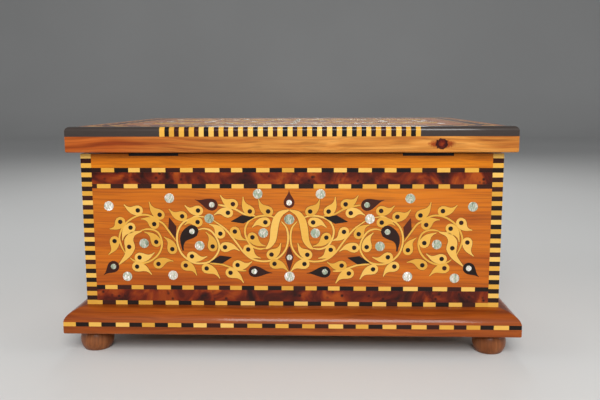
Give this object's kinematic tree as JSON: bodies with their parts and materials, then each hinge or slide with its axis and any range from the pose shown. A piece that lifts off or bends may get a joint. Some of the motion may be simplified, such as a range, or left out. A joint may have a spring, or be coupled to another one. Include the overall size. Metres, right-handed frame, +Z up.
{
  "type": "music box",
  "caption": "Wind-up music box: inlaid wooden case on ball feet with a hinged lid, a velvet-lined compartment and a key-wound musical movement.",
  "frame": {"origin": "on the table, under the middle of the case (bottom centre of the bounding box)", "axes": "+X to the right along the front, +Y from the front to the back, +Z up"},
  "size_m": [0.311, 0.246, 0.1562],
  "materials": {
    "thuya": "varnished orange-brown conifer wood, fine straight grain, glossy",
    "thuya_light": "varnished light thuya board with streaks, glossy",
    "plinth_wood": "varnished reddish thuya moulding, glossy",
    "burl": "varnished thuya burl veneer with dark eyes, glossy",
    "string_blocks": "alternate lemonwood and ebony blocks, varnished",
    "ebony": "black ebony, varnished",
    "foot_wood": "turned foot, thin varnish",
    "plain_wood": "unvarnished inner board",
    "felt": "black felt pad",
    "velvet": "dark red velvet glued on board",
    "clear_acrylic": "clear acrylic sheet",
    "brass": "bright brass",
    "steel": "ground steel",
    "zinc": "die-cast zinc, dull",
    "nylon": "white moulded nylon"
  },
  "bodies": {
    "case": {"front_wall": "thuya", "back_wall": "thuya", "left_wall": "thuya", "right_wall": "thuya", "plinth_front": "plinth_wood", "plinth_back": "plinth_wood", "plinth_left": "plinth_wood", "plinth_right": "plinth_wood", "burl_bands": "burl", "string_bands": "string_blocks", "plinth_strings": "string_blocks", "corner_posts": "string_blocks", "bun_foot_front_left": "foot_wood", "bun_foot_front_right": "foot_wood", "bun_foot_back_left": "foot_wood", "bun_foot_back_right": "foot_wood", "bottom_board": "plain_wood", "partition": "plain_wood", "cover_cleats": "plain_wood", "foot_dowels": "plain_wood", "rim_pads": "felt", "floor_lining": "velvet", "wall_linings": "velvet", "movement_cover": "clear_acrylic", "case_hinge_leaves": "brass", "hinge_pins": "brass", "case_hinge_screws": "brass", "governor_frame": "brass", "cover_screws": "brass", "comb": "steel", "comb_screws": "steel", "governor_screws": "steel", "mounting_screws": "steel", "mainspring": "steel", "spring_housing": "steel", "movement_bedplate": "zinc"},
    "lid": {"lid_board": "thuya_light", "lid_top_panel": "thuya_light", "lid_edging_front": "ebony", "lid_edging_back": "ebony", "lid_edging_left": "ebony", "lid_edging_right": "ebony", "lid_checker_strips": "string_blocks", "lid_lining": "velvet", "lid_hinge_leaves": "brass", "lid_hinge_screws": "brass"},
    "winding": {"winding_arbor": "steel", "crown_wheel": "zinc", "winding_key": "brass"},
    "cylinder": {"cylinder_arbor": "steel", "pinned_cylinder": "brass", "cylinder_wheel": "brass"},
    "train": {"train_arbor": "steel", "worm_wheel": "nylon"},
    "governor": {"governor_worm": "steel", "governor_fly": "nylon"},
    "stop_lever": {"stop_lever": "steel"},
    "stop_rod": {"stop_rod": "steel"}
  },
  "joints": [
    {"name": "key_turn", "type": "hinge", "parent": "case", "child": "winding", "pos_m": [-0.0965, -0.02, 0.0323], "axis": [0, 0, 1], "continuous": true},
    {"name": "lid_hinge", "type": "hinge", "parent": "case", "child": "lid", "pos_m": [0, 0.1106, 0.1384], "axis": [-1, 0, 0], "range_deg": [0, 96]},
    {"name": "cylinder_turn", "type": "hinge", "parent": "case", "child": "cylinder", "pos_m": [-0.0965, 0.01, 0.0535], "axis": [0, 1, 0], "continuous": true},
    {"name": "train_turn", "type": "hinge", "parent": "case", "child": "train", "pos_m": [-0.0825, 0.03, 0.0535], "axis": [0, 1, 0], "continuous": true},
    {"name": "governor_turn", "type": "hinge", "parent": "case", "child": "governor", "pos_m": [-0.0889, 0.031, 0.056], "axis": [0, 0, 1], "continuous": true},
    {"name": "stop_lever_tilt", "type": "hinge", "parent": "case", "child": "stop_lever", "pos_m": [-0.0889, 0.008, 0.0705], "axis": [1, 0, 0], "range_deg": [0, 12.5]},
    {"name": "stop_rod_lift", "type": "slide", "parent": "case", "child": "stop_rod", "axis": [0, 0, 1], "range_m": [0, 0.0031]}
  ],
  "couplings": [
    {"joint": "cylinder_turn", "follows": "key_turn", "ratio": 3},
    {"joint": "train_turn", "follows": "key_turn", "ratio": -18},
    {"joint": "governor_turn", "follows": "key_turn", "ratio": 288},
    {"joint": "stop_lever_tilt", "follows": "lid_hinge", "ratio": 0.128},
    {"joint": "stop_rod_lift", "follows": "lid_hinge", "m_per_rad": 0.00179}
  ]
}
